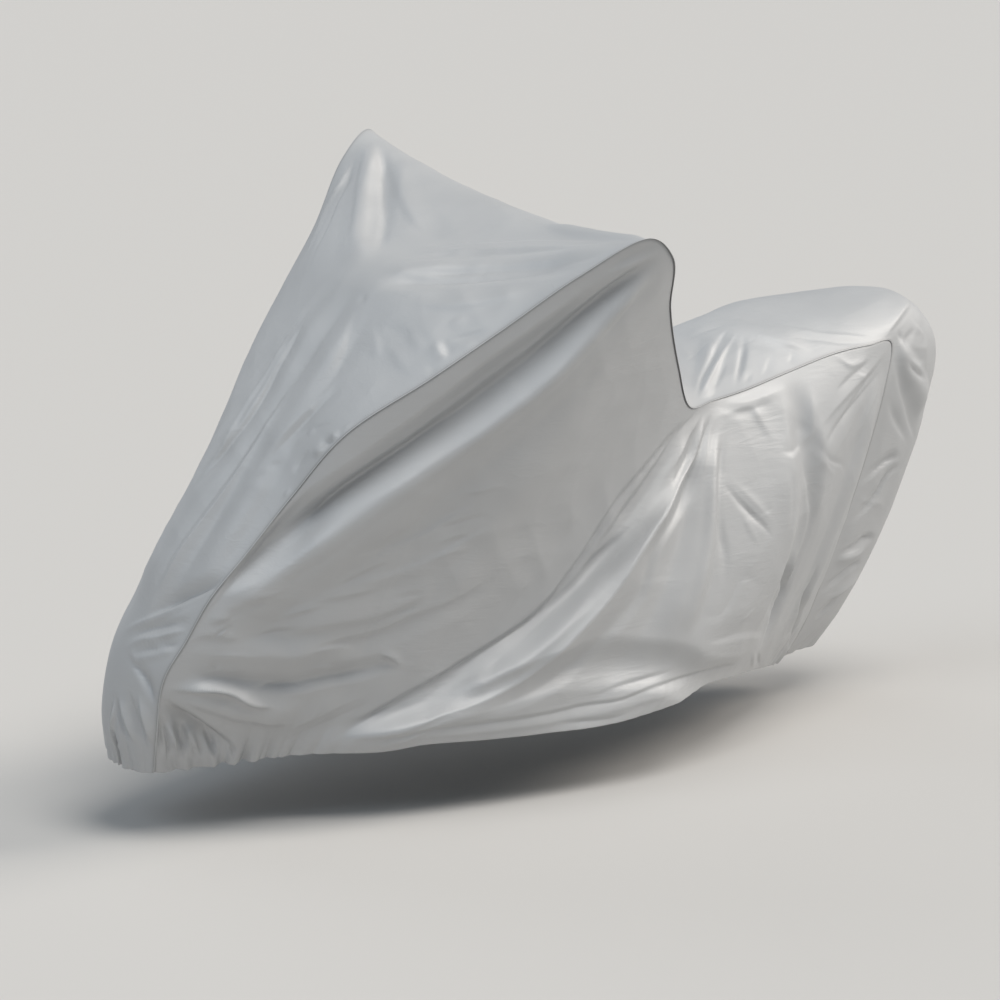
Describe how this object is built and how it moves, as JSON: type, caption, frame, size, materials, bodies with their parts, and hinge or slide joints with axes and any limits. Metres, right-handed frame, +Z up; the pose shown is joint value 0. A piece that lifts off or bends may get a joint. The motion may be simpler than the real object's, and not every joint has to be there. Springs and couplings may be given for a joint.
{
  "type": "motorcycle cover",
  "caption": "Fitted silver cloth cover for a motorcycle, hollow and draped as it lies in use, with a high hood, a low waist, a long lap fold and a gathered hem.",
  "frame": {"origin": "under the top of the hood, midway between its two tips, where the cloth rests on what it covers", "axes": "+X towards the cover's rear, +Y towards its right, +Z up; the cover leans 12 degrees to its left"},
  "size_m": [2.1024, 0.9862, 1.1357],
  "materials": {
    "cover_cloth": "silver coated woven cloth with a soft satin sheen"
  },
  "bodies": {
    "root": {"left_panel": "cover_cloth", "centre_panel": "cover_cloth", "right_panel": "cover_cloth"}
  },
  "joints": []
}
